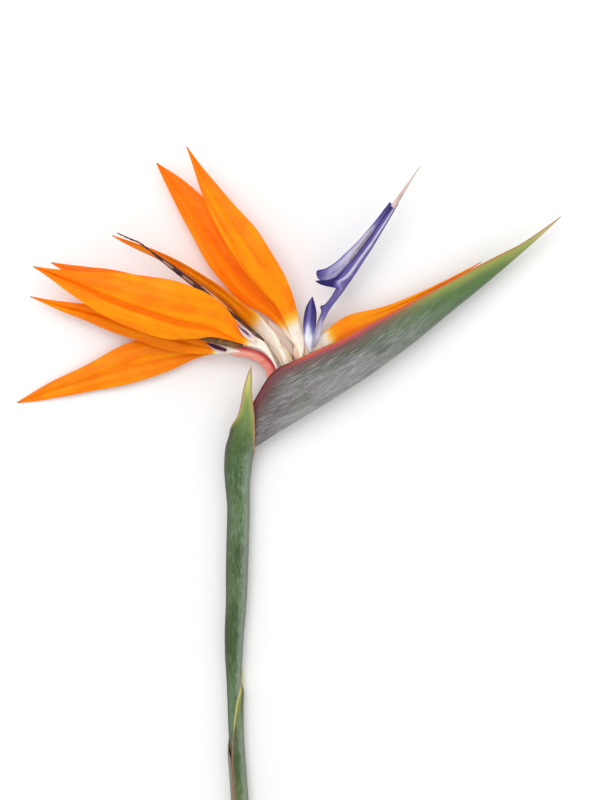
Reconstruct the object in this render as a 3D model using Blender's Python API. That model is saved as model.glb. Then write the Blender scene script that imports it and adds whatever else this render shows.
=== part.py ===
"""A cut bird of paradise flower (Strelitzia reginae), lying on its side on a flat surface.

Lengths are in millimetres until a mesh is made, which is in metres, +Z up. The surface it lies
on is z = 0, the stem runs along -Y and the spathe points to +X and +Y.

A leaf-like piece is a surface of two parameters: t runs from its root (0) to its tip (1), and
s from its right margin (-1) to its left margin (+1), as seen from the root. A Solidify
modifier gives it its thickness. A round piece is a curve with a bevel.
"""

import bpy
import numpy as np

MM = 0.001

STEM_CUT_Y = -198.4          # the cut end of the stem
UPPER_NODE_Y = -141.0        # where the upper bract's sheath grows from the peduncle
SHEATH_WALL = 0.7
LOWER_BRACT_RADIUS = 4.2
SEAM_ANGLE = 2.4             # half of the open seam of a closed sheath, in degrees

SPATHE_BASE = np.array([-16.5, 66.0, 8.1])
SPATHE_TIP = np.array([130.4, 166.5, 8.1])
SPATHE_WALL = 1.1

SEPAL_THICKNESS = 0.9
CLAW_THICKNESS = 1.6         # a sepal's thickness at its root
PETAL_THICKNESS = 0.8
WITHERED_THICKNESS = 0.9

SEPAL_ORANGE = (0.93, 0.24, 0.005)
SHADED_ORANGE = (0.88, 0.16, 0.005)
PETAL_BLUE = (0.10, 0.075, 0.38)
BARB_INDIGO = (0.035, 0.022, 0.16)
PALE_BLUE = (0.30, 0.30, 0.62)
LILAC = (0.42, 0.33, 0.50)
CREAM = (0.86, 0.74, 0.52)
SALMON = (0.80, 0.20, 0.15)
SPATHE_GREEN = (0.13, 0.15, 0.105)
STEM_GREEN = (0.10, 0.17, 0.06)
BRACT_GREEN = (0.24, 0.32, 0.07)
MAUVE = (0.60, 0.42, 0.36)
DARK_BROWN = (0.045, 0.022, 0.03)
TAN_PINK = (0.50, 0.34, 0.30)


def clear_scene():
    for item in list(bpy.data.objects):
        bpy.data.objects.remove(item, do_unlink=True)


def material(name, colour, roughness):
    finish = bpy.data.materials.new(name)
    finish.use_nodes = True
    shader = finish.node_tree.nodes["Principled BSDF"]
    shader.inputs["Base Color"].default_value = (*colour, 1.0)
    shader.inputs["Roughness"].default_value = roughness
    shader.inputs["Metallic"].default_value = 0.0
    return finish


def through(rows, t, column=1):
    """A smooth curve through (knot, value, ...) rows, which never overshoots its values."""
    table = np.array(rows, dtype=float)
    knots = table[:, 0]
    values = table[:, column]
    slopes = np.diff(values) / np.diff(knots)
    product = slopes[:-1] * slopes[1:]
    total = slopes[:-1] + slopes[1:]
    agree = product > 0
    inner = np.where(agree, 2 * product / np.where(agree, total, 1), 0)
    tangents = np.concatenate([slopes[:1], inner, slopes[-1:]])
    place = np.clip(np.searchsorted(knots, t) - 1, 0, len(knots) - 2)
    span = knots[place + 1] - knots[place]
    x = (t - knots[place]) / span
    rise = values[place + 1] - values[place]
    ease = x * x * (3 - 2 * x)
    start = tangents[place] * span * x * (1 - x) ** 2
    end = tangents[place + 1] * span * x * x * (x - 1)
    return values[place] + rise * ease + start + end


def place_object(name, data, colour, roughness):
    data.materials.append(material(name + "_finish", colour, roughness))
    item = bpy.data.objects.new(name, data)
    bpy.context.collection.objects.link(item)
    return item


def leaf(name, points, thickness, side, colour, roughness=0.5):
    """A solid leaf on a grid of points, rows from root to tip, columns from margin to margin.

    thickness is in millimetres for each row; side is 0 to grow it both ways from the grid,
    or -1 to grow it against the grid's normal. The last row is joined in one point.
    """
    rows, columns, _ = points.shape
    body = points[:-1].reshape(-1, 3)
    tip = points[-1].mean(axis=0)
    vertices = np.vstack([body, tip]) * MM
    last = (rows - 1) * columns
    faces = []
    for row in range(rows - 2):
        for column in range(columns - 1):
            corner = row * columns + column
            faces.append((corner, corner + 1, corner + columns + 1, corner + columns))
    for column in range(columns - 1):
        corner = last - columns + column
        faces.append((corner, corner + 1, last))
    mesh = bpy.data.meshes.new(name)
    mesh.from_pydata(vertices.tolist(), [], faces)
    mesh.shade_smooth()
    item = place_object(name, mesh, colour, roughness)
    most = float(max(thickness))
    group = item.vertex_groups.new(name="thickness")
    for index in range(last):
        group.add([index], float(thickness[index // columns]) / most, "REPLACE")
    group.add([last], float(thickness[-1]) / most, "REPLACE")
    solid = item.modifiers.new("thickness", "SOLIDIFY")
    solid.thickness = most * MM
    solid.offset = side
    solid.vertex_group = group.name
    solid.thickness_vertex_group = 0.0
    return item


def blade(name, root, tip, outline, rise, cup=0.12, lean=0.0, thickness=SEPAL_THICKNESS,
          claw=CLAW_THICKNESS, colour=SEPAL_ORANGE, rows=14, columns=7):
    """A blade about the straight line from root to tip, in plan, with a height above it.

    outline rows are (t, left, right): how far each margin lies from the line. rise rows are
    (t, height of the midrib). Each margin lies lower than the midrib by cup times the distance
    to it, along a parabola, and lean lifts the left margin and lowers the right one.
    """
    t = 1 - (1 - np.linspace(0, 1, rows)) ** 1.15
    s = np.linspace(-1, 1, columns)
    line = np.array(tip[:2]) - np.array(root[:2])
    ahead = line / np.linalg.norm(line)
    sideways = np.array([-ahead[1], ahead[0]])
    left = through(outline, t, 1)
    right = through(outline, t, 2)
    middle = (left - right) / 2
    half = np.maximum((left + right) / 2, 0.05)
    across = middle[:, None] + half[:, None] * s[None, :]
    plan = np.array(root[:2]) + t[:, None, None] * line + across[:, :, None] * sideways
    height = through(rise, t)[:, None] - cup * half[:, None] * s[None, :] ** 2
    height = height + lean * half[:, None] * s[None, :]
    points = np.dstack([plan, height])
    depth = thickness + (claw - thickness) * np.exp(-t / 0.12)
    depth = depth * (1 - 0.7 * t ** 4)
    return leaf(name, points, depth, 0.0, colour)


def tube(name, path, colour, roughness=0.5, step=6.0, sides=3):
    """A round tube along a smooth curve through (x, y, z, radius) points, with flat ends."""
    path = np.array(path, dtype=float)
    lengths = np.linalg.norm(np.diff(path[:, :3], axis=0), axis=1)
    knots = np.concatenate([[0], np.cumsum(lengths)])
    even = np.arange(0, knots[-1], step)
    apart = np.abs(even[:, None] - knots[None, :]).min(axis=1) > 0.4 * step
    stations = np.union1d(even[apart], knots)
    table = np.column_stack([knots, path])
    smooth = np.column_stack([through(table, stations, column) for column in (1, 2, 3, 4)])
    curve = bpy.data.curves.new(name, "CURVE")
    curve.dimensions = "3D"
    curve.bevel_depth = MM
    curve.bevel_resolution = sides
    curve.use_fill_caps = True
    spline = curve.splines.new("POLY")
    spline.points.add(len(stations) - 1)
    for point, (x, y, z, radius) in zip(spline.points, smooth):
        point.co = (x * MM, y * MM, z * MM, 1.0)
        point.radius = radius
    spline.use_smooth = True
    return place_object(name, curve, colour, roughness)


# The stem's centre line by height on the stem: (y, x, z).
STEM_LINE = [
    (-198.4, -18.4, 4.2), (-141, -21.7, 4.2), (-107.7, -23.5, 4.2), (-83.8, -25.3, 4.2),
    (-64.7, -25.9, 4.3), (-40.8, -26.1, 4.6), (-17, -24.8, 5.0), (3.6, -24.4, 5.4),
    (26.5, -23.7, 5.5), (40.3, -24.3, 6.0),
]


def stem_point(y, radius):
    return (through(STEM_LINE, y, 1), y, through(STEM_LINE, y, 2), radius)


def peduncle():
    """The solid stalk: stout below the upper node, slim inside the sheath, then bent over
    to the right into the base of the spathe, where the florets stand on its end."""
    below = [stem_point(y, 3.1) for y in (STEM_CUT_Y, -170.0, -150.0, UPPER_NODE_Y - 3.5)]
    above = [stem_point(UPPER_NODE_Y - 0.4, 1.85)]
    above += [stem_point(y, radius) for y, radius in
              ((-107.7, 1.9), (-83.8, 2.0), (-64.7, 2.15), (-40.8, 2.9), (-17.0, 3.6),
               (3.6, 4.0), (26.5, 4.0), (40.0, 4.2))]
    bend = [(-23.8, 46.0, 6.6, 3.7), (-23.4, 52.0, 7.4, 2.8), (-21.4, 58.6, 8.1, 2.2),
            (-16.9, 62.8, 8.1, 2.1), (-10.0, 67.6, 8.1, 2.1), (-3.5, 72.2, 8.1, 1.8)]
    return tube("peduncle", below + above + bend, STEM_GREEN, sides=3, step=6.0)


def sheath(name, rows, colour, sections, columns):
    """A sheath wrapped round the stem, as rows of (y, x, z, radius, first, last): the centre
    and the radius of an arc across the stem, and the angles in degrees at which the arc
    starts and ends, measured from straight up towards +X."""
    table = np.array(rows, dtype=float)
    y = np.interp(np.linspace(0, len(rows) - 1, sections), np.arange(len(rows)), table[:, 0])
    x, z, radius, first, last = (through(table, y, column) for column in range(1, 6))
    s = np.linspace(0, 1, columns)
    angle = np.radians(first[:, None] + (last - first)[:, None] * s[None, :])
    points = np.dstack([
        x[:, None] + radius[:, None] * np.sin(angle),
        np.repeat(y[:, None], columns, axis=1),
        z[:, None] + radius[:, None] * np.cos(angle),
    ])
    wall = SHEATH_WALL * np.clip((table[-1, 0] - y) / 12, 0.4, 1)
    return leaf(name, points, wall, -1.0, colour)


def upper_bract():
    """The sheath of the upper bract, closed round the stem, which opens to the right under
    the spathe and ends in a point above it."""
    shut = 180 - SEAM_ANGLE
    closed = [(UPPER_NODE_Y, 2.9), (-107.7, 3.0), (-83.8, 3.1), (-72.0, 3.15), (-62.0, 3.3),
              (-54.0, 3.6), (-48.0, 3.9), (-40.8, 4.35), (-17.0, 5.0), (3.6, 5.4),
              (26.5, 5.4), (40.3, 6.0)]
    rows = [(y, *stem_point(y, radius)[:1], *stem_point(y, radius)[2:], -shut, shut)
            for y, radius in closed]
    rows += [
        (47.0, -23.9, 6.9, 6.8, -shut, 165), (52.0, -23.4, 7.0, 6.8, -shut, 112),
        (55.0, -22.4, 7.6, 7.5, -shut, 56), (58.0, -21.6, 7.9, 7.9, -170, 46),
        (62.0, -20.6, 8.0, 8.0, -138, 37), (66.0, -19.5, 8.0, 7.8, -88, 27),
        (70.0, -19.8, 7.6, 7.6, -37, 28), (78.5, -19.6, 7.2, 7.6, -20, 20),
        (86.0, -18.9, 7.0, 7.6, -13, 13), (91.0, -18.2, 6.9, 7.6, -8, 8),
        (94.4, -17.5, 6.8, 7.6, -1, 1),
    ]
    return sheath("upper_bract", rows, BRACT_GREEN, sections=34, columns=15)


def lower_bract():
    """The sheath of the lower bract, with its seam facing up and a slanting mouth that runs
    round to a point on the right of the stem."""
    seam = SEAM_ANGLE + 0.4
    closed = [(y, LOWER_BRACT_RADIUS, seam, 360 - seam)
              for y in (STEM_CUT_Y, -150.0, -120.0, -96.0)]
    mouth = [(-90.0, 4.2, 4, 350), (-86.0, 4.2, 8, 315), (-80.5, 4.2, 18, 272),
             (-72.0, 4.2, 34, 225), (-62.0, 4.3, 55, 170), (-54.0, 4.5, 76, 125),
             (-49.0, 4.65, 94, 98)]
    rows = []
    for y, radius, first, last in closed + mouth:
        x, _, z, _ = stem_point(y, radius)
        rows.append((y, x, z, radius, first, last))
    return sheath("lower_bract", rows, STEM_GREEN, sections=22, columns=13)


# The spathe by distance along its axis: (u, margin, keel, half width, half gap of the slit).
SPATHE_ROWS = [
    (-8, 1.2, 8.3, 4.1, 0.6), (0, 6.2, 8.6, 4.3, 0.6), (6.5, 9.6, 8.8, 4.7, 0.7),
    (12, 12.2, 9.1, 5.6, 1.5), (17, 14.4, 9.4, 6.8, 3.8), (24, 16.2, 9.8, 7.5, 6.0),
    (31, 15.2, 10.2, 7.8, 6.4), (41, 13.5, 10.7, 7.9, 6.3), (51, 11.9, 11.0, 7.8, 5.4),
    (60, 10.2, 11.1, 7.6, 3.8), (71, 9.0, 10.7, 7.2, 2.7), (84, 7.3, 10.2, 6.6, 2.4),
    (105, 5.6, 8.2, 5.2, 2.1), (128, 3.0, 6.4, 3.8, 1.7), (145, 0.8, 4.6, 2.7, 1.2),
    (156, -0.3, 3.4, 1.9, 0.8), (170, -0.3, 1.5, 0.9, 0.4), (178, 0.1, 0.1, 0.2, 0.2),
]


def spathe(sections=30, columns=17):
    """The boat-shaped spathe, lying on its side: a keel to the lower right and two walls that
    bulge apart and come together again at the slit along the upper left."""
    line = SPATHE_TIP - SPATHE_BASE
    ahead = line / np.linalg.norm(line)
    sideways = np.array([-ahead[1], ahead[0], 0.0])
    u = np.interp(np.linspace(0, len(SPATHE_ROWS) - 1, sections),
                  np.arange(len(SPATHE_ROWS)), np.array(SPATHE_ROWS)[:, 0])
    margin, keel, half, gap = (through(SPATHE_ROWS, u, column) for column in range(1, 5))
    s = np.linspace(-1, 1, columns)
    a = np.abs(s)
    bulge = np.sqrt(np.clip(1 - (2 * a ** 0.8 - 1) ** 2, 0, 1))
    across = -keel[:, None] + (margin + keel)[:, None] * a[None, :] ** 1.25
    up = np.hypot(half[:, None] * bulge[None, :], gap[:, None] * a[None, :] ** 2)
    up = up * np.sign(s)[None, :]
    points = (SPATHE_BASE + u[:, None, None] * ahead + across[:, :, None] * sideways
              + up[:, :, None] * np.array([0.0, 0.0, 1.0]))
    wall = np.minimum(SPATHE_WALL, 0.32 * half)
    return leaf("spathe", points[:, ::-1], wall, -1.0, SPATHE_GREEN, 0.6)


def bracteole():
    outline = [(0, 1.2, 1.4), (0.25, 2.4, 3.4), (0.6, 3.0, 3.6), (0.85, 1.8, 1.8), (1, 0, 0)]
    rise = [(0, 4.2), (0.5, 4.6), (1, 5.2)]
    return blade("bracteole", (1.2, 98.0), (-9.7, 117.6), outline, rise, cup=0.05,
                 thickness=0.4, claw=0.5, colour=MAUVE, rows=9, columns=5)


def claws():
    """The stout floret bases, from inside the spathe out through its slit."""
    tube("claw_a", [(11.2, 88.5, 8.0, 3.4), (11.9, 93.0, 8.0, 4.0), (10.9, 98.0, 8.3, 4.0),
                    (9.6, 101.3, 8.8, 4.1), (8.6, 103.8, 9.6, 4.2)], CREAM, step=3.0)
    tube("claw_b", [(1.6, 87.0, 7.8, 3.2), (0.4, 92.5, 8.4, 3.6), (-1.6, 98.0, 10.2, 3.6),
                    (-4.8, 102.8, 11.4, 3.7), (-7.6, 106.0, 12.2, 3.7)], CREAM, step=3.0)
    tube("claw_c", [(-6.4, 85.0, 7.0, 2.5), (-7.0, 90.0, 7.2, 2.8), (-9.2, 94.6, 7.6, 2.7),
                    (-13.6, 98.8, 8.1, 2.6), (-20.5, 101.4, 8.6, 2.5),
                    (-28.6, 102.7, 9.0, 2.6)], SALMON, step=3.5)


def sepals_a():
    blade("sepal_a1", (4.6, 107.9), (-47.9, 198.1),
          [(0, 3.3, 2.1), (0.1, 1.2, 5.7), (0.16, 1.4, 7.6), (0.3, 5.0, 9.3), (0.47, 6.9, 9.1),
           (0.62, 6.9, 6.4), (0.76, 5.3, 3.5), (0.9, 2.4, 1.2), (1, 0, 0)],
          [(0, 13), (0.15, 16), (0.45, 20), (1, 14)])
    blade("sepal_a2", (2.7, 108.0), (-62.8, 191.1),
          [(0, 2.2, 2.0), (0.13, 1.8, 4.0), (0.21, 6.8, 5.5), (0.34, 10.4, 7.0),
           (0.48, 10.5, 8.0), (0.66, 7.6, 8.2), (0.84, 4.1, 5.8), (0.93, 1.9, 3.0), (1, 0, 0)],
          [(0, 8), (0.3, 8.5), (0.5, 9.5), (1, 7)], cup=0.1, colour=SHADED_ORANGE)
    blade("sepal_a3", (15.4, 105.4), (91.4, 144.0),
          [(0, 2.0, 2.0), (0.1, 5.4, 4.0), (0.2, 6.2, 4.4), (0.32, 3.6, 4.2), (0.48, 1.2, 3.4),
           (0.63, 0.3, 3.2), (0.81, -0.1, 2.4), (1, 0, 0)],
          [(0, 9.4), (0.15, 9.0), (0.3, 8.2), (1, 8.1)], cup=0.06)


def sepals_b():
    blade("sepal_b1", (-10.8, 109.6), (-83.3, 156.0),
          [(0, 2.2, 2.4), (0.09, 1.8, 5.4), (0.2, -0.5, 5.9), (0.33, -2.6, 7.0),
           (0.46, -3.2, 7.2), (0.69, -2.9, 5.9), (0.84, -1.3, 3.4), (0.95, -0.2, 1.2), (1, 0, 0)],
          [(0, 12.4), (0.2, 14), (0.5, 15.5), (1, 14)], cup=0.0, lean=-1.7,
          colour=SHADED_ORANGE)
    blade("sepal_b2", (-14.6, 105.4), (-120.1, 141.4),
          [(0, 2.0, 1.6), (0.08, 2.9, 3.7), (0.19, 3.8, 12.0), (0.26, 8.2, 14.4),
           (0.37, 12.3, 15.0), (0.5, 12.9, 13.2), (0.62, 11.6, 10.4), (0.73, 9.1, 6.8),
           (0.87, 4.4, 2.8), (0.95, 1.6, 1.0), (1, 0, 0)],
          [(0, 15), (0.2, 22), (0.45, 27), (0.75, 24), (1, 16)], columns=9)
    blade("sepal_b3", (-14.8, 105.0), (-112.2, 143.4),
          [(0, 1.4, 1.6), (0.1, 1.2, 3.2), (0.2, 1.8, 5.0), (0.4, 5.0, 8.6), (0.62, 5.6, 9.2),
           (0.85, 3.0, 4.1), (0.95, 1.2, 1.5), (1, 0, 0)],
          [(0, 11.4), (0.12, 14.5), (0.3, 17), (0.6, 17), (1, 12)], colour=SHADED_ORANGE)


def sepals_c():
    blade("sepal_c1", (-31.8, 103.2), (-122.7, 127.7),
          [(0, 2.2, 1.8), (0.06, 4.4, 3.0), (0.14, 6.9, 5.4), (0.28, 7.5, 7.4),
           (0.43, 7.0, 7.4), (0.59, 5.7, 6.0), (0.7, 4.2, 3.8), (0.86, 2.5, 1.3), (1, 0, 0)],
          [(0, 11.8), (0.3, 12), (0.6, 10.5), (1, 8)], cup=0.08)
    blade("sepal_c2", (-32.0, 102.6), (-130.0, 77.1),
          [(0, 1.8, 1.8), (0.1, 0.5, 5.0), (0.18, 1.9, 10.0), (0.25, 3.3, 13.0),
           (0.39, 4.7, 14.7), (0.54, 4.4, 11.6), (0.68, 3.3, 8.2), (0.81, 2.3, 5.8),
           (0.92, 1.4, 2.9), (1, 0, 0)],
          [(0, 5.6), (0.4, 4.6), (0.8, 2.4), (1, 0.2)], cup=0.08)
    blade("sepal_c3", (-32.2, 103.8), (-101.5, 122.4),
          [(0, 1.6, 1.6), (0.15, 4.0, 4.0), (0.4, 6.6, 6.6), (0.7, 5.4, 5.4), (0.9, 2.4, 2.4),
           (1, 0, 0)],
          [(0, 8.6), (0.3, 7.2), (1, 4.5)], cup=0.05, colour=SHADED_ORANGE)


def ribbon(name, rows, thickness, colour, columns=5):
    """A flat petal given by its two edges, as rows of (x, y, z) on the right and left."""
    table = np.array(rows, dtype=float)
    s = np.linspace(0, 1, columns)[None, :, None]
    right = table[:, None, :3]
    left = table[:, None, 3:]
    points = right + (left - right) * s
    points = np.vstack([points, points[-1:].mean(axis=1, keepdims=True).repeat(columns, 1)
                        + np.array([0.3, 0.6, 0.0])])
    depth = np.full(len(points), thickness)
    return leaf(name, points, depth, 0.0, colour)


def tongue_a():
    """The blue tongue of the youngest floret: two petals folded one over the other, each with
    a barb that points back, and the style and the anthers between them."""
    ribbon("arrow_near_a", [
        (12.1, 107.7, 16.2, 9.8, 107.7, 16.2), (15.4, 118.1, 16.6, 12.9, 118.6, 16.6),
        (19.2, 125.6, 17.0, 15.9, 124.2, 17.0), (23.4, 132.6, 17.5, 21.5, 132.4, 17.5),
        (27.4, 140.2, 17.9, 25.2, 138.2, 17.9), (27.8, 140.8, 18.0, 13.7, 136.3, 18.6),
        (29.0, 142.4, 18.1, 13.8, 138.7, 19.0), (31.9, 144.8, 18.3, 19.6, 141.0, 19.3),
        (35.6, 149.0, 18.4, 26.7, 147.1, 19.2), (40.3, 155.6, 18.5, 33.7, 154.1, 19.0),
        (45.0, 163.1, 18.5, 40.8, 161.7, 18.8), (49.2, 170.7, 18.5, 48.0, 170.9, 18.5),
    ], PETAL_THICKNESS, PALE_BLUE)
    ribbon("arrow_far_a", [
        (13.9, 107.8, 13.0, 11.2, 107.8, 13.0), (15.9, 117.3, 13.4, 13.6, 117.7, 13.4),
        (19.2, 123.4, 13.8, 15.9, 123.4, 13.8), (22.5, 127.6, 14.0, 19.2, 128.1, 14.0),
        (25.8, 131.9, 14.2, 22.3, 132.6, 14.2), (26.4, 132.5, 14.3, 12.1, 134.5, 14.5),
        (28.7, 135.2, 14.6, 15.0, 135.8, 14.7), (31.0, 138.2, 14.8, 23.0, 138.9, 14.8),
        (34.8, 143.6, 15.0, 27.2, 142.6, 15.0), (40.4, 152.1, 15.0, 34.8, 150.8, 15.0),
        (46.1, 161.6, 15.0, 42.3, 160.7, 15.0), (51.1, 171.0, 15.0, 49.4, 170.8, 15.0),
    ], PETAL_THICKNESS, PETAL_BLUE)
    tube("style_a", [(25.6, 135.2, 16.2, 0.5), (39.8, 153.9, 16.7, 0.5),
                     (50.3, 170.8, 16.8, 0.6), (55.6, 179.0, 16.9, 0.5),
                     (61.6, 187.8, 17.0, 0.15)], TAN_PINK, sides=2, step=5.0)
    tube("anthers_a", [(25.7, 141.9, 20.0, 0.2), (30.9, 148.4, 20.2, 0.35),
                       (34.6, 153.4, 20.2, 0.35), (39.8, 160.8, 20.0, 0.2)], DARK_BROWN,
         sides=2, step=5.0)


def nectary_petals():
    """The small third petal of each floret, a hooded scale over its nectary."""
    petal = dict(thickness=PETAL_THICKNESS, claw=1.0, rows=8, columns=5)
    blade("nectary_petal_a", (9.6, 107.8), (11.4, 126.9),
          [(0, 1.8, 1.8), (0.3, 3.0, 2.6), (0.55, 3.0, 2.6), (0.8, 2.2, 1.6), (1, 0, 0)],
          [(0, 18.6), (1, 20)], cup=0.3, colour=PETAL_BLUE, **petal)
    blade("nectary_petal_b", (-15.7, 106.0), (-24.2, 113.6),
          [(0, 1.0, 1.2), (0.5, 1.6, 1.8), (1, 0, 0)],
          [(0, 18.2), (1, 20.6)], cup=0.1, colour=LILAC, **petal)
    blade("nectary_petal_c", (-29.4, 102.0), (-38.9, 105.4),
          [(0, 1.2, 1.2), (0.5, 1.9, 1.9), (1, 0, 0)],
          [(0, 14.0), (1, 14.0)], cup=0.1, colour=DARK_BROWN, **petal)


def withered_parts():
    """The shrivelled tongues of the two older florets, and the dry thread of one style."""
    withered = dict(thickness=WITHERED_THICKNESS, claw=1.0, colour=DARK_BROWN)
    blade("arrow_b", (-35.4, 126.0), (-66.6, 149.8),
          [(0, 0.9, 1.1), (0.3, 1.4, 1.6), (0.7, 1.1, 1.2), (1, 0, 0)],
          [(0, 16.8), (0.4, 19.6), (1, 21.4)], cup=0.2, rows=9, columns=5, **withered)
    blade("arrow_c", (-21.5, 104.4), (-56.7, 112.2),
          [(0, 1.0, 1.0), (0.25, 2.0, 1.9), (0.55, 1.8, 1.6), (1, 0, 0)],
          [(0, 13.4), (0.25, 15.4), (1, 16)], cup=0.15, rows=9, columns=5, **withered)
    tube("style_b", [(-66.9, 151.2, 21.4, 0.3), (-73.7, 153.8, 20.4, 0.3),
                     (-80.4, 156.9, 19.4, 0.2)], DARK_BROWN, sides=2, step=5.0)


def stand_on_origin():
    """Puts the middle of the flower's plan on the origin, and its lowest point on z = 0."""
    bpy.context.view_layer.update()
    graph = bpy.context.evaluated_depsgraph_get()
    corners = []
    for item in bpy.data.objects:
        mesh = item.evaluated_get(graph).to_mesh()
        places = np.empty(len(mesh.vertices) * 3)
        mesh.vertices.foreach_get("co", places)
        corners.append(places.reshape(-1, 3))
    corners = np.vstack(corners)
    low = corners.min(axis=0)
    high = corners.max(axis=0)
    for item in bpy.data.objects:
        item.location = (-(low[0] + high[0]) / 2, -(low[1] + high[1]) / 2, -low[2])


def main():
    clear_scene()
    peduncle()
    upper_bract()
    lower_bract()
    spathe()
    bracteole()
    claws()
    sepals_a()
    sepals_b()
    sepals_c()
    tongue_a()
    nectary_petals()
    withered_parts()
    stand_on_origin()


main()
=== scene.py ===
"""The finished look of a cut bird of paradise flower (Strelitzia reginae) lying on its side.

Every piece is a surface of two parameters, worked out in millimetres with numpy: t runs from its
root (0) to its tip (1), and s from its right margin (-1) to its left margin (+1). Its place and
size are read from the solid of the frame that it stands for, by cutting that solid across.
"""

import bpy
import numpy as np
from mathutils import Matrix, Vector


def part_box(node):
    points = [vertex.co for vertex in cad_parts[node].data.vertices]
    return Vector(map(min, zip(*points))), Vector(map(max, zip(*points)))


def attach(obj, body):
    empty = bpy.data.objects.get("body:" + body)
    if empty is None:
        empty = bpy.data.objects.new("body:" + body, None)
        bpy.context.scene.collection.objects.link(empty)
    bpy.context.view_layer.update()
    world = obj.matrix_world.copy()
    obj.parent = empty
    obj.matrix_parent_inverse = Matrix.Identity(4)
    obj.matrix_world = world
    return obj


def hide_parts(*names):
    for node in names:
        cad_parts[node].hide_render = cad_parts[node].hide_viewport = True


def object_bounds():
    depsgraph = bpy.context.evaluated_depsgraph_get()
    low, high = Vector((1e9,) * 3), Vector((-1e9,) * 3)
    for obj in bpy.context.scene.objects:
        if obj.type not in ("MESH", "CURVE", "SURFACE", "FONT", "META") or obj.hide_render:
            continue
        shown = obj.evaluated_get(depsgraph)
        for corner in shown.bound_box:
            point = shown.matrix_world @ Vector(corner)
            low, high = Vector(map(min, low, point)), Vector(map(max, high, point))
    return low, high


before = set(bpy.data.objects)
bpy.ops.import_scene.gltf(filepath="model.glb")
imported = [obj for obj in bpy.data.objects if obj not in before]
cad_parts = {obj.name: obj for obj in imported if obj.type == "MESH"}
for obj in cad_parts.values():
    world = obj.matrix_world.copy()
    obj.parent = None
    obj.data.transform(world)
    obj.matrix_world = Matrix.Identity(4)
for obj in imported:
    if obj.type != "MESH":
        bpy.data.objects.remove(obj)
cad_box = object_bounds()

MM = 0.001
UP = np.array([0.0, 0.0, 1.0])

CAMERA_PLACE = (5.08, 78.7, 900.0)
LENS = 84.4
SENSOR = 36.0
SKY = 0.72

STALK_BEND = 242.0
STALK_RADIUS = 4.0
SHEATH_WALL = 0.7


# --- Reading the frame ------------------------------------------------------------------


def unit(vector):
    return vector / np.linalg.norm(vector)


def through(knots, values, at):
    """A smooth curve through the values at the knots, which never overshoots them."""
    knots = np.asarray(knots, dtype=float)
    values = np.asarray(values, dtype=float)
    slopes = np.diff(values) / np.diff(knots)
    product = slopes[:-1] * slopes[1:]
    total = slopes[:-1] + slopes[1:]
    agree = product > 0
    inner = np.where(agree, 2 * product / np.where(agree, total, 1), 0)
    tangents = np.concatenate([slopes[:1], inner, slopes[-1:]])
    place = np.clip(np.searchsorted(knots, at) - 1, 0, len(knots) - 2)
    span = knots[place + 1] - knots[place]
    x = (at - knots[place]) / span
    rise = values[place + 1] - values[place]
    start = tangents[place] * span * x * (1 - x) ** 2
    end = tangents[place + 1] * span * x * x * (x - 1)
    return values[place] + rise * x * x * (3 - 2 * x) + start + end


def curves(knots, rows, at):
    """The curve through each column of rows."""
    return [through(knots, values, at) for values in rows.T]


def curve(rows, at):
    """The curve through (knot, value) rows."""
    table = np.array(rows, dtype=float)
    return through(table[:, 0], table[:, 1], at)


def plan_line(root, tip):
    """The length in plan of the line from root to tip, its direction, and the direction to
    its left."""
    line = (tip - root) * (1, 1, 0)
    length = np.linalg.norm(line)
    ahead = line / length
    return length, ahead, np.cross(UP, ahead)


def set_out(root, ahead, left, along, across, up):
    """The points of a sheet: root + along * ahead + across * left + up * UP."""
    return (root + along[:, :, None] * ahead + across[:, :, None] * left
            + up[:, :, None] * UP)


def solid(node):
    """The corners and the triangles' edges of a solid of the frame, in millimetres."""
    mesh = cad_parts[node].data
    mesh.calc_loop_triangles()
    points = np.empty(len(mesh.vertices) * 3)
    mesh.vertices.foreach_get("co", points)
    corners = np.empty(len(mesh.loop_triangles) * 3, dtype=np.int32)
    mesh.loop_triangles.foreach_get("vertices", corners)
    corners = corners.reshape(-1, 3)
    edges = np.vstack([corners[:, [0, 1]], corners[:, [1, 2]], corners[:, [2, 0]]])
    return points.reshape(-1, 3) / MM, edges


def cut(node, start, ahead, distances):
    """Cuts a solid by planes across ahead, at distances from start. Each cut is the points
    where the plane meets the edges of the solid's triangles."""
    points, edges = solid(node)
    depth = (points - start) @ ahead
    cuts = []
    for distance in distances:
        below = depth[edges[:, 0]] - distance
        above = depth[edges[:, 1]] - distance
        crossed = below * above < 0
        share = (below[crossed] / (below[crossed] - above[crossed]))[:, None]
        first = points[edges[crossed, 0]]
        cuts.append(first + (points[edges[crossed, 1]] - first) * share)
    return cuts


def middle_of(node):
    """The middle of a solid's box, in millimetres."""
    low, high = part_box(node)
    return np.array((low + high) / 2) / MM


def ends_of(node, heart, reach=0.9):
    """The root and the tip of a long solid: the tip is its point farthest from the heart in
    plan, and the root is the middle of its other end."""
    points, _ = solid(node)
    tip = points[np.argmax(np.linalg.norm(points[:, :2] - heart[:2], axis=1))]
    root = heart
    for _ in range(4):
        flat = unit((tip - root) * (1, 1, 0))
        depth = (points - tip) @ flat
        root = points[depth < depth.min() + reach].mean(axis=0)
    return root, tip


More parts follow.
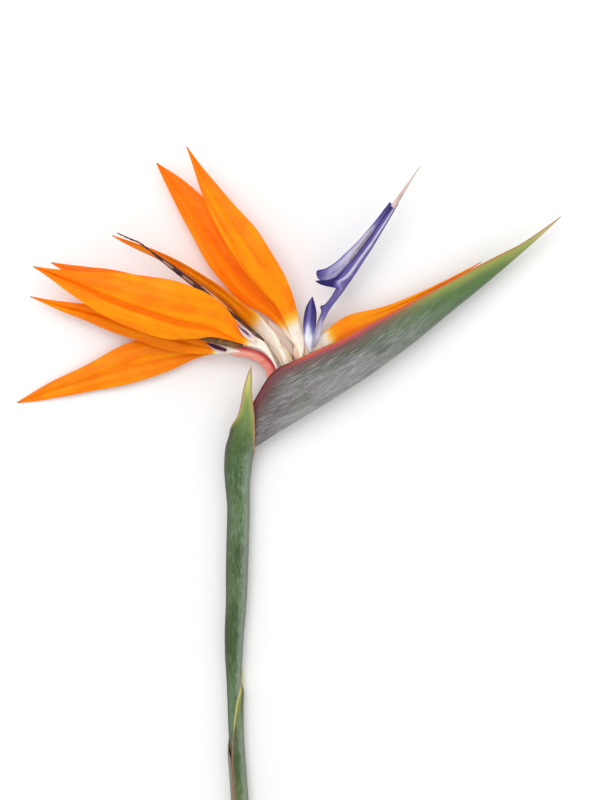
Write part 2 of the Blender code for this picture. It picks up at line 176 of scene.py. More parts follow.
def leaf_form(node, heart, cuts=18):
    """Reads a leaf solid. Its margins lie left and right of the straight line from root to
    tip, and its height is height + lean * s - cup * s ** 2, each a curve over t."""
    root, tip = ends_of(node, heart)
    length, ahead, left = plan_line(root, tip)
    t = np.linspace(0.012, 0.985, cuts)
    rows = []
    for points in cut(node, root, ahead, t * length):
        across = (points - root) @ left
        low = across.min()
        high = across.max()
        s = (2 * across - low - high) / max(high - low, 0.01)
        terms = np.column_stack([np.ones_like(s), s, -s * s])
        height, lean, cup = np.linalg.lstsq(terms, points[:, 2], rcond=None)[0]
        rows.append((low, high, height, lean, cup))
    rows = np.array(rows)
    knots = np.concatenate([[0.0], t[1:-1], [1.0]])
    middle = rows[-1, :2].mean()
    rows[-1] = (middle - 0.25, middle + 0.25, tip[2], 0, 0)
    return dict(root=root, ahead=ahead, left=left, length=length, t=knots, rows=rows)


def round_form(node, start, end, cuts):
    """Reads a round solid by cutting it across the line from start to end: its centre line
    and its radius at each cut."""
    line = end - start
    length = np.linalg.norm(line)
    ahead = line / length
    centres = []
    for points in cut(node, start, ahead, np.linspace(0.01, 0.99, cuts) * length):
        centre = (points.min(axis=0) + points.max(axis=0)) / 2
        centres.append((*centre, np.linalg.norm(points - centre, axis=1).mean()))
    return np.array(centres)


# --- Making meshes ----------------------------------------------------------------------


def from_margin_to_margin(columns):
    """s from -1 to 1, closer together towards the margins, which keeps their edges crisp."""
    return np.sin(np.linspace(-np.pi / 2, np.pi / 2, columns))


def skin(name, rings, patterns, finish, slot, stands_for):
    """A closed piece through rings of points, (rings, points, 3). Each ring is closed, and a
    fan to its middle closes each end. patterns are vectors for the finish, one for each
    point, by name. Faces are turned to point out."""
    count, around, _ = rings.shape
    here = np.arange(around)
    after = (here + 1) % around
    ring = np.arange(count - 1)[:, None] * around
    quads = np.stack([ring + here, ring + after, ring + around + after, ring + around + here],
                     axis=-1).reshape(-1, 4)
    first = np.full(around, count * around)
    last = (count - 1) * around
    fans = np.vstack([np.column_stack([first, after, here]),
                      np.column_stack([first + 1, last + here, last + after])])
    points = np.vstack([rings.reshape(-1, 3), rings[[0, -1]].mean(axis=1)])
    corners = points[quads]
    halves = np.cross(corners[:, 2] - corners[:, 0], corners[:, 3] - corners[:, 1])
    if np.sum(halves * (corners.mean(axis=1) - points.mean(axis=0))) < 0:
        quads = quads[:, ::-1]
        fans = fans[:, ::-1]
    mesh = bpy.data.meshes.new(name)
    mesh.from_pydata((points * MM).tolist(), [], quads.tolist() + fans.tolist())
    for label, values in patterns.items():
        ends = values[[0, -1]].mean(axis=1)
        values = np.vstack([values.reshape(-1, 3), ends]).astype(np.float32)
        layer = mesh.attributes.new(label, "FLOAT_VECTOR", "POINT")
        layer.data.foreach_set("vector", values.ravel())
    mesh.shade_smooth()
    mesh.materials.append(finish)
    piece = bpy.data.objects.new(name, mesh)
    bpy.context.scene.collection.objects.link(piece)
    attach(piece, "root")
    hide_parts(*stands_for)
    return piece


def sheet_piece(name, sheet, depth, finish, slot, stands_for, shade=None, claw=8.0, side=0.0,
                t=None, behind=0.0, girth=None):
    """A leaf: a sheet of points (rows, columns, 3) given a thickness, which thins away to
    round margins. depth is the thickness of each row; side is 0 to grow it both ways and -1
    to grow it under the sheet. Its patterns are lie (distance along, distance across, and
    distance from the margin), place (t, s, shade) and kind (1 above and 0 below, distance
    from the root over the claw's length, 0). The root is behind millimetres along. girth is
    the distance across where it isn't measured from the middle column."""
    rows, columns, _ = sheet.shape
    s = from_margin_to_margin(columns)
    t = np.linspace(0, 1, rows) if t is None else t
    normal = np.cross(np.gradient(sheet, axis=0), np.gradient(sheet, axis=1))
    normal = normal / np.maximum(np.linalg.norm(normal, axis=2, keepdims=True), 1e-9)
    half = depth[:, None, None] / 2 * np.sqrt(1 - np.abs(s) ** 6)[None, :, None]
    above = sheet + normal * half * (1 + side)
    below = sheet - normal * half * (1 - side)
    middle = columns // 2
    spine = np.linalg.norm(np.diff(sheet[:, middle], axis=0), axis=1)
    along = np.repeat(np.concatenate([[0], np.cumsum(spine)])[:, None], columns, axis=1)
    steps = np.linalg.norm(np.diff(sheet, axis=1), axis=2)
    across = np.hstack([np.zeros((rows, 1)), np.cumsum(steps, axis=1)])
    margin = np.minimum(across, across[:, -1:] - across)
    across = across - across[:, middle:middle + 1] if girth is None else girth
    if shade is None:
        shade = np.zeros((rows, columns))
    place = np.dstack([*np.meshgrid(s, t)][::-1] + [shade])
    lie = np.dstack([along, across, margin])
    top = np.dstack([np.ones_like(along), (along - behind) / claw, np.zeros_like(along)])
    under = top * (0, 1, 1)

    def loop(upper, lower):
        return np.concatenate([upper, lower[:, -2:0:-1]], axis=1)

    patterns = dict(lie=loop(lie, lie), place=loop(place, place), kind=loop(top, under))
    return skin(name, loop(above, below), patterns, finish, slot, stands_for)


def round_piece(name, path, finish, slot, stands_for, rows=80, around=40, flat=1.0, wide=None,
                bumps=None):
    """A round piece along a smooth centre line. path rows are (x, y, z, radius). Its section
    is a circle, made wide times as wide in plan and flat times as high, with bumps(t, turn)
    added to the radius, where turn runs round the section from 0 to 2 pi."""
    path = np.array(path, dtype=float)
    lengths = np.linalg.norm(np.diff(path[:, :3], axis=0), axis=1)
    knots = np.concatenate([[0], np.cumsum(lengths)])
    at = np.linspace(0, knots[-1], rows)
    x, y, z, radius = curves(knots, path, at)
    centre = np.column_stack([x, y, z])
    t = at / knots[-1]
    ahead = np.gradient(centre, axis=0)
    ahead = ahead / np.linalg.norm(ahead, axis=1, keepdims=True)
    left = np.cross(UP, ahead)
    left = left / np.linalg.norm(left, axis=1, keepdims=True)
    over = np.cross(ahead, left)
    turn = np.linspace(0, 2 * np.pi, around, endpoint=False)
    size = np.repeat(radius[:, None], around, axis=1)
    if bumps is not None:
        size = size + bumps(t[:, None], turn[None, :])
    wide = np.ones(rows) if wide is None else curve(wide, t)
    sideways = (size * np.sin(turn) * wide[:, None])[:, :, None] * left[:, None, :]
    upward = (size * np.cos(turn) * flat)[:, :, None] * over[:, None, :]
    rings = centre[:, None, :] + sideways + upward
    along = np.repeat(at[:, None], around, axis=1)
    turns = np.repeat(turn[None, :], rows, axis=0)
    lie = np.dstack([along, size * np.sin(turns), size * np.cos(turns)])
    place = np.dstack([along / knots[-1], np.cos(turns), np.sin(turns)])
    return skin(name, rings, dict(lie=lie, place=place), finish, slot, stands_for)


# --- Finishes ---------------------------------------------------------------------------


class Amount:
    """A number or a colour that varies over a surface, with the arithmetic of numbers."""

    def __init__(self, finish, socket):
        self.finish = finish
        self.socket = socket

    def _maths(self, operation, first, second):
        return self.finish.add("ShaderNodeMath", {"operation": operation},
                               {0: first, 1: second})

    def __add__(self, other):
        return self._maths("ADD", self, other)

    def __sub__(self, other):
        return self._maths("SUBTRACT", self, other)

    def __rsub__(self, other):
        return self._maths("SUBTRACT", other, self)

    def __mul__(self, other):
        return self._maths("MULTIPLY", self, other)

    __radd__ = __add__
    __rmul__ = __mul__


class Finish:
    """A material made of expressions. The shader's own constants are set by name."""

    def __init__(self, name, **constants):
        self.material = bpy.data.materials.new(name)
        self.material.use_nodes = True
        self.tree = self.material.node_tree
        self.shader = self.tree.nodes["Principled BSDF"]
        for socket, value in constants.items():
            self.shader.inputs[socket.replace("_", " ")].default_value = value

    def feed(self, socket, value):
        """Links an amount to a socket, or sets it to a number or a colour."""
        if isinstance(value, Amount):
            self.tree.links.new(value.socket, socket)
        elif isinstance(value, tuple) and len(value) == 3 and socket.type == "RGBA":
            socket.default_value = (*value, 1.0)
        else:
            socket.default_value = value

    def add(self, kind, settings, inputs, output=0):
        """Adds a node of a kind, with its settings and then its inputs, and gives one output."""
        node = self.tree.nodes.new(kind)
        for setting, value in settings.items():
            setattr(node, setting, value)
        for socket, value in inputs.items():
            self.feed(node.inputs[socket], value)
        return Amount(self, node.outputs[output])

    def pattern(self, label):
        """A pattern vector of the piece: the vector and its three parts."""
        vector = self.add("ShaderNodeAttribute", {"attribute_name": label}, {}, "Vector")
        split = self.add("ShaderNodeSeparateXYZ", {}, {0: vector}).socket.node
        return vector, [Amount(self, output) for output in split.outputs]

    def noise(self, where, scale=1.0, detail=3.0, rough=0.55):
        return self.add("ShaderNodeTexNoise", {},
                        {"Vector": where, "Scale": scale, "Detail": detail, "Roughness": rough})

    def vector(self, *parts):
        return self.add("ShaderNodeCombineXYZ", {}, dict(enumerate(parts)))

    def streaks(self, along, across, detail=3.0, rough=0.55):
        """Noise that is long in one direction of the piece and fine in the other."""
        return self.noise(self.vector(along, across), 1.0, detail, rough)

    def cells(self, *parts):
        """The distance to the nearest of scattered points."""
        return self.add("ShaderNodeTexVoronoi", {}, {"Vector": self.vector(*parts), "Scale": 1.0},
                        "Distance")

    def ease(self, value, low, high, start=0.0, end=1.0):
        """Rises smoothly from start to end as the value goes from low to high."""
        return self.add("ShaderNodeMapRange", {"interpolation_type": "SMOOTHSTEP"},
                        {0: value, 1: low, 2: high, 3: start, 4: end})

    def mix(self, share, first, second):
        """The first colour turned into the second one by a share of 0 to 1."""
        return self.add("ShaderNodeMix", {"data_type": "RGBA"}, {0: share, 6: first, 7: second},
                        2)

    def paint(self, colour, *coats):
        """Lays coats over a colour in turn, each a share of 0 to 1 and its own colour."""
        for share, coat in coats:
            colour = self.mix(share, colour, coat)
        return colour

    def done(self, colour, roughness, height=None, strength=0.5, distance=0.15):
        """Gives the shader its colour, its roughness and a relief of height times distance,
        in millimetres."""
        self.feed(self.shader.inputs["Base Color"], colour)
        self.feed(self.shader.inputs["Roughness"], roughness)
        if height is not None:
            bump = self.add("ShaderNodeBump", {},
                            {"Height": height, "Strength": strength, "Distance": distance * MM})
            self.feed(self.shader.inputs["Normal"], bump)
        return self.material


def tint(red, green, blue):
    """A colour given as it looks on a display, from 0 to 255, made linear."""
    value = np.array([red, green, blue]) / 255
    linear = np.where(value <= 0.04045, value / 12.92, ((value + 0.055) / 1.055) ** 2.4)
    return tuple(float(part) for part in linear)


def sepal_finish(name, bright, deep, shaded):
    """Orange sepal: broad bands, parallel veins, a yellow and then cream claw, painted shade in
    red orange along its folds and margins, and a small brown tip."""
    finish = Finish(name, Subsurface_Weight=0.08, Subsurface_Scale=0.002,
                    Subsurface_Radius=(1.0, 0.3, 0.02), Specular_IOR_Level=0.12)
    ease = finish.ease
    lie, (along, across, margin) = finish.pattern("lie")
    _, (t, _, fold) = finish.pattern("place")
    _, (_, claw, _) = finish.pattern("kind")
    veins = finish.streaks(along * 0.035, across * 1.7, 4.0, 0.7)
    fine = finish.streaks(along * 0.12, across * 5.0, 3.0, 0.6)
    cloud = finish.noise(lie, 0.11)
    bands = finish.streaks(along * 0.012, across * 0.16, 2.0)
    flesh = finish.mix(ease(veins, 0.4, 0.72), tint(255, 246, 230), tint(246, 216, 192))
    colour = finish.paint(
        bright,
        (ease(bands + (cloud - 0.5) * 0.5, 0.34, 0.66) * 0.85, deep),
        (ease(veins, 0.5, 0.78) * 0.45, deep),
        # pale yellow streaks along the veins: partly their own colour, partly painted highlight
        (ease(veins, 0.46, 0.25) * 0.2, tint(255, 170, 30)),
        (ease(fine, 0.5, 0.8) * 0.3, deep),
        # painted shade: red orange in the folds, as deep as each groove, and a little along the
        # margins
        (ease(fold, 0.15, 1.0) * 0.5, shaded),
        (ease(margin, 0.5, 0.0) * 0.12, shaded),
        (ease(claw + (veins - 0.5) * 1.2, 1.5, 0.8), tint(255, 196, 60)),
        (ease(claw + (veins - 0.5) * 1.1, 1.05, 0.4), flesh),
        (ease(t, 0.988, 0.997), tint(118, 92, 78)))
    roughness = ease(veins, 0.3, 0.7, 0.34, 0.5)
    return finish.done(colour, roughness, veins * 0.7 + fine * 0.3, 0.6, 0.22)


def spathe_finish():
    """Grey-green spathe under a waxy bloom. From the slit's margin down its side it goes from
    an orange-red line over pink red and purple brown to dark green and then silver grey. The
    heel is purple with a dark red edge, and the far half is green, with a yellow-green edge
    and tip. Silver streaks and scratches run along it, in patches."""
    finish = Finish("spathe_skin", Specular_IOR_Level=0.35)
    ease = finish.ease
    _, (along, across, margin) = finish.pattern("lie")
    _, (t, _, _) = finish.pattern("place")
    _, (above, _, _) = finish.pattern("kind")
    streak = finish.streaks(along * 0.07, across * 1.5, 6.0, 0.72)
    hair = finish.streaks(along * 0.12, across * 5.0, 4.0, 0.7)
    cloud = finish.streaks(along * 0.035, across * 0.13, 4.0, 0.6)
    scratch = finish.streaks(along * 0.1, across * 2.2 + along * 0.1, 3.0, 0.6)
    flecks = finish.cells(along * 0.5, across * 1.1)
    spots = finish.streaks(along * 0.3, across * 0.7, 2.0)
    far = ease(t, 0.3, 0.62)
    near = ease(t, 0.62, 0.36)
    down = margin + (streak - 0.5) * 4.0 + (cloud - 0.5) * 3.0
    patches = ease(cloud, 0.36, 0.58) * ease(t, 0.66, 0.3)
    front = ease(t + (cloud - 0.5) * 0.06, 0.24, 0.15) * ease(margin, 7.0, 1.0)
    line = ease(margin + (streak - 0.5) * 1.4, 1.5, 0.5) * 0.85 * ease(t, 0.9, 0.6)
    colour = finish.paint(
        finish.mix(far, tint(70, 84, 62), tint(84, 116, 60)),
        (ease(down, 6.5, 13.0), finish.mix(far, tint(118, 118, 116), tint(98, 118, 88))),
        (ease(t + (cloud - 0.5) * 0.3, 0.42, 0.02) * 0.7, tint(98, 82, 86)),
        (ease(down, 13.0, 22.0) * ease(t, 0.5, 0.25) * 0.7, tint(156, 156, 154)),
        (ease(cloud, 0.5, 0.34) * 0.4, tint(62, 72, 54)),
        (ease(streak, 0.46, 0.3) * 0.55, tint(50, 58, 46)),
        (ease(streak, 0.46, 0.68) * patches * 0.6, tint(168, 170, 170)),
        (ease(hair, 0.52, 0.66) * patches * 0.75, tint(206, 208, 208)),
        (ease(hair, 0.46, 0.32) * 0.5, tint(42, 48, 40)),
        (ease(scratch, 0.57, 0.68) * ease(t, 0.62, 0.4) * 0.5, tint(200, 200, 198)),
        (ease(flecks, 0.18, 0.06) * ease(spots, 0.48, 0.6) * 0.7, tint(54, 46, 42)),
        (ease(down, 6.5, 1.0) * far * 0.85, tint(150, 160, 72)),
        (ease(t + (streak - 0.5) * 0.1, 0.7, 0.9) * 0.85, tint(156, 164, 92)),
        (ease(t, 0.84, 0.95), tint(200, 184, 124)),
        (ease(down, 9.5, 2.5) * near * 0.75, tint(108, 66, 64)),
        (ease(down, 3.6, 0.8) * near * 0.85, tint(186, 66, 78)),
        (line, tint(222, 88, 48)),
        (ease(margin, 1.1, 0.3) * 0.5, tint(170, 90, 60)),
        (front * 0.9, tint(104, 62, 66)),
        (ease(t, 0.24, 0.16) * ease(margin, 1.4, 0.4) * 0.9, tint(96, 24, 30)),
        (ease(above, 0.6, 0.4) * ease(margin, 0.3, 1.5), tint(190, 160, 128)),
        (ease(t, 0.965, 0.99), tint(120, 92, 66)))
    roughness = ease(cloud + (streak - 0.5) * 0.5, 0.3, 0.7, 0.36, 0.56)
    height = streak * 0.5 + hair * 0.3 + scratch * 0.2
    return finish.done(colour, roughness, height, 0.6, 0.35)


def stem_finish(name, green, pale, brown, lime, seam):
    """Green sheath with patches of grey bloom, fine ribs and small specks. Its flanks are painted
    darker grey as painted shade, more on one side, and a painted highlight runs along the other
    side of its lower part. Its open margins are brown above and the seam's colour below, and it
    turns lime at the tip."""
    finish = Finish(name, Specular_IOR_Level=0.4)
    ease = finish.ease
    _, (along, across, _) = finish.pattern("lie")
    _, (t, _, edge) = finish.pattern("place")
    ribs = finish.streaks(along * 0.05, across * 2.2, 4.0, 0.65)
    bloom = finish.streaks(along * 0.2, across * 1.1, 6.0, 0.72)
    reach = finish.streaks(along * 0.022, across * 0.05, 2.0)
    specks = finish.cells(along * 0.9, across * 1.5)
    spots = finish.streaks(along * 0.3, across * 0.5, 2.0)
    # painted highlight: a pale grey-green streak along one side of the lower part
    painted_highlight = ease(across + (bloom - 0.5) * 6.0, 0.2, 3.6) * ease(t, 0.84, 0.66)
    # painted shade: the flanks turn darker grey, more where across is negative
    flank = ease(across * across + (ribs - 0.5) * 6.0, 4.0, 20.0)
    mouth = ease(t, 0.7, 0.86)
    colour = finish.paint(
        green,
        (ease(ribs, 0.3, 0.7) * 0.7, tint(86, 112, 54)),
        (ease(reach, 0.55, 0.4) * 0.6, tint(44, 66, 32)),
        (ease(bloom + (reach - 0.5) * 0.9, 0.42, 0.72) * 0.7, pale),
        (ease(specks, 0.15, 0.05) * ease(spots, 0.46, 0.56) * 0.7, tint(150, 158, 130)),
        (painted_highlight * 0.6, tint(160, 174, 156)),
        # painted shade on the flanks, stronger on one side
        (flank * ease(across, -1.0, 1.0, 0.7, 0.35), tint(60, 58, 52)),
        (mouth * ease(flank, 0.8, 0.0) * 0.6, tint(124, 150, 66)),
        (mouth * ease(edge, 0.0, 0.5) * 0.35, lime),
        (ease(t + (ribs - 0.5) * 0.08, 0.85, 0.94), lime),
        (ease(edge + (ribs - 0.5) * 0.4, 0.35, 0.9),
         finish.mix(ease(t, 0.68, 0.73), seam, brown)),
        (ease(t, 0.985, 0.995), tint(150, 84, 56)))
    roughness = ease(bloom, 0.4, 0.6, 0.4, 0.6)
    return finish.done(colour, roughness, ribs * 0.7 + bloom * 0.3, 0.45, 0.25)


def stalk_finish():
    """The stalk inside the sheaths: green outside, and a pale, fibrous face where it is cut."""
    finish = Finish("stalk_skin", Specular_IOR_Level=0.4)
    ease = finish.ease
    _, (along, wide, high) = finish.pattern("lie")
    ribs = finish.noise(finish.vector(along * 0.05, wide * 1.6, high * 1.6))
    pores = finish.cells(along * 0.2, wide * 2.4, high * 2.4)
    colour = finish.mix(ease(ribs, 0.35, 0.7), tint(104, 124, 74), tint(142, 154, 104))
    face = finish.mix(ease(pores, 0.12, 0.3), tint(150, 140, 84), tint(214, 214, 160))
    colour = finish.mix(ease(along, 0.6, 0.25), colour, face)
    return finish.done(colour, 0.5, ribs + pores * 0.3, 0.4, 0.2)


def claw_finish(name, body, flush, flank=(0.2, 1.6), end=0.0):
    """Smooth, stout claw of a floret, with faint lines along it, and flushed on its right
    flank, where the flank's reach goes through the range given. end says how far it pales
    towards its end."""
    finish = Finish(name, Subsurface_Weight=0.15, Subsurface_Scale=0.003,
                    Subsurface_Radius=(1.0, 0.6, 0.35), Specular_IOR_Level=0.4)
    ease = finish.ease
    lie, (along, wide, high) = finish.pattern("lie")
    _, (t, _, left) = finish.pattern("place")
    lines = finish.noise(finish.vector(along * 0.08, wide * 1.8, high * 1.8), 1.0, 4.0, 0.65)
    colour = finish.paint(
        body,
        (ease(finish.noise(lie, 0.25), 0.4, 0.7) * 0.4, flush),
        (ease((lines - 0.5) * 0.9 - left, *flank), flush),
        (ease(lines, 0.5, 0.75) * 0.3, flush),
        (ease(lines, 0.46, 0.26) * 0.6, tint(255, 240, 220)),
        (ease(t + (lines - 0.5) * 0.3, 0.66, 0.92) * end, tint(252, 228, 220)))
    return finish.done(colour, 0.36, lines, 0.35, 0.2)


def tongue_finish(name, pale, body, dark):
    """Blue petal with a matt, finely ribbed face, from pale lavender over violet to indigo,
    by the shade of each place."""
    finish = Finish(name, Specular_IOR_Level=0.12)
    ease = finish.ease
    lie, (along, across, margin) = finish.pattern("lie")
    _, (_, _, shade) = finish.pattern("place")
    ribs = finish.streaks(along * 0.05, across * 2.6, 4.0, 0.65)
    deep = shade + (ribs - 0.5) * 0.7 + (finish.noise(lie, 0.22) - 0.5) * 0.3
    colour = finish.paint(
        pale,
        (ease(deep, 0.0, 0.55), body),
        (ease(deep, 0.45, 1.05), dark),
        (ease(margin + (ribs - 0.5) * 0.5, 0.5, 0.05) * 0.3, dark))
    return finish.done(colour, 0.6, ribs, 0.5, 0.18)


def withered_finish(name, dark, brown, pale):
    """Dry, shrivelled tissue: dark, wrinkled along its length, with paler, worn ridges."""
    finish = Finish(name, Specular_IOR_Level=0.3)
    ease = finish.ease
    lie, (along, across, _) = finish.pattern("lie")
    _, (_, _, shade) = finish.pattern("place")
    wrinkles = finish.streaks(along * 0.25, across * 1.8, 5.0, 0.7)
    colour = finish.paint(
        dark,
        (ease(finish.noise(lie, 0.3), 0.35, 0.65), brown),
        (ease(wrinkles, 0.55, 0.72) * 0.7, pale),
        (ease(shade + (wrinkles - 0.5) * 0.8, 0.4, 0.8) * 0.85, pale))
    return finish.done(colour, 0.6, wrinkles, 0.8, 0.4)


def bracteole_finish():
    """Thin, half-transparent bracteole: mauve pink painted nearly white, as painted light shining
    through it, with fine lines and a brown root.
    """
    finish = Finish("bracteole_skin", Subsurface_Weight=0.3, Subsurface_Scale=0.003,
                    Specular_IOR_Level=0.5)
    ease = finish.ease
    _, (along, across, margin) = finish.pattern("lie")
    _, (t, _, _) = finish.pattern("place")
    lines = finish.streaks(along * 0.1, across * 2.2, 4.0, 0.65)
    colour = finish.paint(
        # painted light: nearly white, paler than its own mauve pink, for the light through the
        # thin scale
        tint(255, 240, 230),
        (ease(lines, 0.35, 0.65), tint(250, 216, 204)),
        (ease(margin, 1.3, 0.1) * 0.5, tint(176, 124, 118)),
        (ease(t, 0.12, 0.0) * 0.7, tint(122, 78, 56)))
    return finish.done(colour, 0.32, lines, 0.4, 0.2)


# --- Stem and sheaths -------------------------------------------------------------------


def stalk():
    """The stalk up to the spathe. It is cut square at its foot, with a slightly domed face."""
    low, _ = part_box("peduncle")
    foot = middle_of("peduncle") * (0, 0, 1) + np.array([0, low.y / MM, 0])
    bend = np.array([foot[0], low.y / MM + STALK_BEND, foot[2]])
    straight = round_form("peduncle", foot, bend, 40)
    points, _ = solid("peduncle")
    end = points[np.argmax(points[:, 0])]
    turned = round_form("peduncle", straight[-1, :3] + (0.5, 3.0, 0.5), end, 9)
    turned[:, 3] = np.minimum(turned[:, 3], 2.3)
    path = np.vstack([straight, turned[1:]])
    face = path[0] + (0, -0.25, 0, 0)
    face[3] = 0.3
    rim = path[0] + (0, -0.1, 0, -0.25)
    return round_piece("stalk", np.vstack([face, rim, path]), stalk_finish(), "stem_green",
                       ["peduncle"], rows=220, around=32)


def arc_form(node, ends, first, last, sections=40):
    """Reads a sheath solid by cuts across +Y: the centre and the outer radius of its arc.
    Wide arcs are fitted by a circle, and narrow ones keep the last radius."""
    y = ends[0] + (ends[1] - ends[0]) * np.linspace(0.001, 0.997, sections)
    rows = []
    radius = 3.0
    for place, points in zip(y, cut(node, np.zeros(3), np.array([0.0, 1.0, 0.0]), y)):
        x = points[:, 0]
        z = points[:, 2]
        begin = float(first(place))
        finish = float(last(place))
        turn = np.radians((begin + finish) / 2)
        if finish - begin > 100:
            terms = np.column_stack([2 * x, 2 * z, np.ones_like(x)])
            fit = np.linalg.lstsq(terms, x * x + z * z, rcond=None)[0]
            centre = fit[:2]
            radius = np.hypot(x - centre[0], z - centre[1]).max()
        else:
            centre = np.array([x.mean(), z.mean()])
            spread = np.radians(finish - begin) / 2
            reach = (radius - 0.2) * np.sin(spread) / spread
            centre = centre - reach * np.array([np.sin(turn), np.cos(turn)])
        rows.append((place, *centre, radius))
    return rows


def sheath(name, node, opening, finish, slot, rows, columns, flare):
    """A sheath wrapped round the stalk. opening rows are (distance below the tip, first
    angle, last angle), with the angles in degrees from straight up towards +X. The margins
    stand off from the stalk by flare where the sheath is open."""
    low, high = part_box(node)
    ends = (low.y / MM, high.y / MM)
    table = np.array(opening, dtype=float)
    below = np.concatenate([table[:, 0], [ends[1] - ends[0] + 1]])
    first_angle = np.concatenate([table[:, 1], table[-1:, 1]])
    last_angle = np.concatenate([table[:, 2], table[-1:, 2]])

    def first(y):
        return through(below, first_angle, np.asarray(ends[1] - y))

    def last(y):
        return through(below, last_angle, np.asarray(ends[1] - y))

    form = np.array(arc_form(node, ends, first, last))
    share = np.linspace(0, 1, rows)
    y = ends[0] + (ends[1] - ends[0]) * (1 - (1 - share) ** 1.35)
    x, z, radius = curves(form[:, 0], form[:, 1:], np.clip(y, form[0, 0], form[-1, 0]))
    s = from_margin_to_margin(columns)
    start = first(y)[:, None]
    end = last(y)[:, None]
    angle = np.radians(start + (end - start) * (s[None, :] + 1) / 2)
    open_share = np.clip((360 - (end - start)) / 60, 0.3 if flare < 0 else 0, 1)
    lift = flare * open_share * np.exp(-radius[:, None] * np.radians(end - start)
                                       * (1 - np.abs(s[None, :])) / 2 / 1.8)
    size = radius[:, None] + lift + 0.04 * np.sin(angle * 23) * (1 - open_share * 0.4)
    sheet = np.dstack([x[:, None] + size * np.sin(angle),
                       np.repeat(y[:, None], columns, axis=1),
                       z[:, None] + size * np.cos(angle)])
    depth = SHEATH_WALL * np.clip((ends[1] - y) / 12, 0.35, 1)
    reach = radius[:, None] * np.radians(end - start) * (1 - np.abs(s[None, :])) / 2
    shade = np.exp(-reach / 1.5) * np.clip(open_share * 3 + 0.35, 0, 1)
    return sheet_piece(name, sheet[:, ::-1], depth, finish, slot, [node], shade[:, ::-1],
                       side=-1.0, girth=angle[:, ::-1] * STALK_RADIUS)


UPPER_OPENING = [
    (0, -0.8, 0.8), (3.4, -7, 7), (8.4, -13, 13), (15.9, -20, 20), (23, -33, 27), (27, -58, 29),
    (32, -105, 36), (37, -160, 48), (42, -178, 85), (47.4, -178, 150), (54.1, -178, 178),
]
LOWER_OPENING = [
    (0, 94, 98), (3, 84, 115), (8, 52, 135), (14.4, 20, 155), (26.4, -6, 205), (34, -20, 248),
    (38.4, -28, 280), (41, -32, 304), (44, -36, 319), (48, -37, 320),
]


def sheaths():
    """The upper sheath, which wraps the stalk up to the spathe, and the lower one over it."""
    upper = stem_finish("upper_bract_skin", green=tint(54, 84, 36), pale=tint(116, 136, 108),
                        brown=tint(176, 128, 96), lime=tint(202, 206, 108),
                        seam=tint(120, 84, 70))
    sheath("upper_sheath", "upper_bract", UPPER_OPENING, upper, "bract_green",
           rows=260, columns=91, flare=0.15)
    lower = stem_finish("lower_bract_skin", green=tint(78, 96, 44), pale=tint(112, 126, 92),
                        brown=tint(196, 186, 112), lime=tint(190, 184, 104),
                        seam=tint(158, 116, 100))
    sheath("lower_sheath", "lower_bract", LOWER_OPENING, lower, "stem_green",
           rows=170, columns=81, flare=-0.75)


# --- Spathe -----------------------------------------------------------------------------


def spathe(rows=220, columns=121):
    """The spathe, a boat lying on its side. With a = |s|, a section lies
    -keel + (margin + keel) * a ** 1.25 across its axis, and
    hypot(half * sqrt(1 - (2 * a ** 0.8 - 1) ** 2), gap * a ** 2) above or below it. The
    margins roll out a little, fine ribs run along the walls and the keel is a raised line."""
    root, tip = ends_of("spathe", np.array([-30.0, 30.0, 8.0]))
    root[2] = tip[2]
    length, ahead, left = plan_line(root, tip)
    t = np.linspace(0.004, 0.992, 40)
    form = []
    for points in cut("spathe", root, ahead, t * length):
        across = (points - root) @ left
        up = np.abs(points[:, 2] - root[2])
        high = across.max()
        form.append((high, -across.min(), up.max(), up[across > high - 0.25].max()))
    form = np.array(form)
    at = 1 - (1 - np.linspace(0, 1, rows)) ** 1.1
    inside = np.clip(at, t[0], t[-1])
    margin, keel, half, gap = curves(t, form, inside)
    closing = np.clip((1 - at) / (1 - t[-1]), 0.12, 1)
    s = from_margin_to_margin(columns)
    a = np.abs(s)[None, :]
    margin = (margin * closing)[:, None]
    keel = (keel * closing)[:, None]
    half = (half * closing)[:, None]
    gap = (gap * closing)[:, None]
    bulge = np.sqrt(np.clip(1 - (2 * a ** 0.8 - 1) ** 2, 0, 1))
    across = -keel + (margin + keel) * a ** 1.25
    up = np.hypot(half * bulge, gap * a ** 2)
    along = at[:, None] * length
    ribs = 0.06 * np.sin(a * 60 + 2.0 * np.sin(along / 31)) * bulge
    waves = 0.16 * np.sin(along / 9.5 + a * 3 + s[None, :] * 2) * a ** 3
    size = np.minimum(1, half / 3)
    roll = 0.5 * np.exp(-((1 - a) * (margin + keel)) / 0.8) * size
    up = up + (ribs + waves * 0.5 + roll) * size
    across = across + waves * size * a ** 4 - 0.25 * np.exp(-(a * 30) ** 2) * size
    sheet = set_out(root, ahead, left, along, across, up * np.sign(s)[None, :])
    depth = np.minimum(1.0, 0.3 * half[:, 0])
    return sheet_piece("boat", sheet, depth, spathe_finish(), "spathe_green", ["spathe"],
                       side=-1.0)


# --- Florets ----------------------------------------------------------------------------


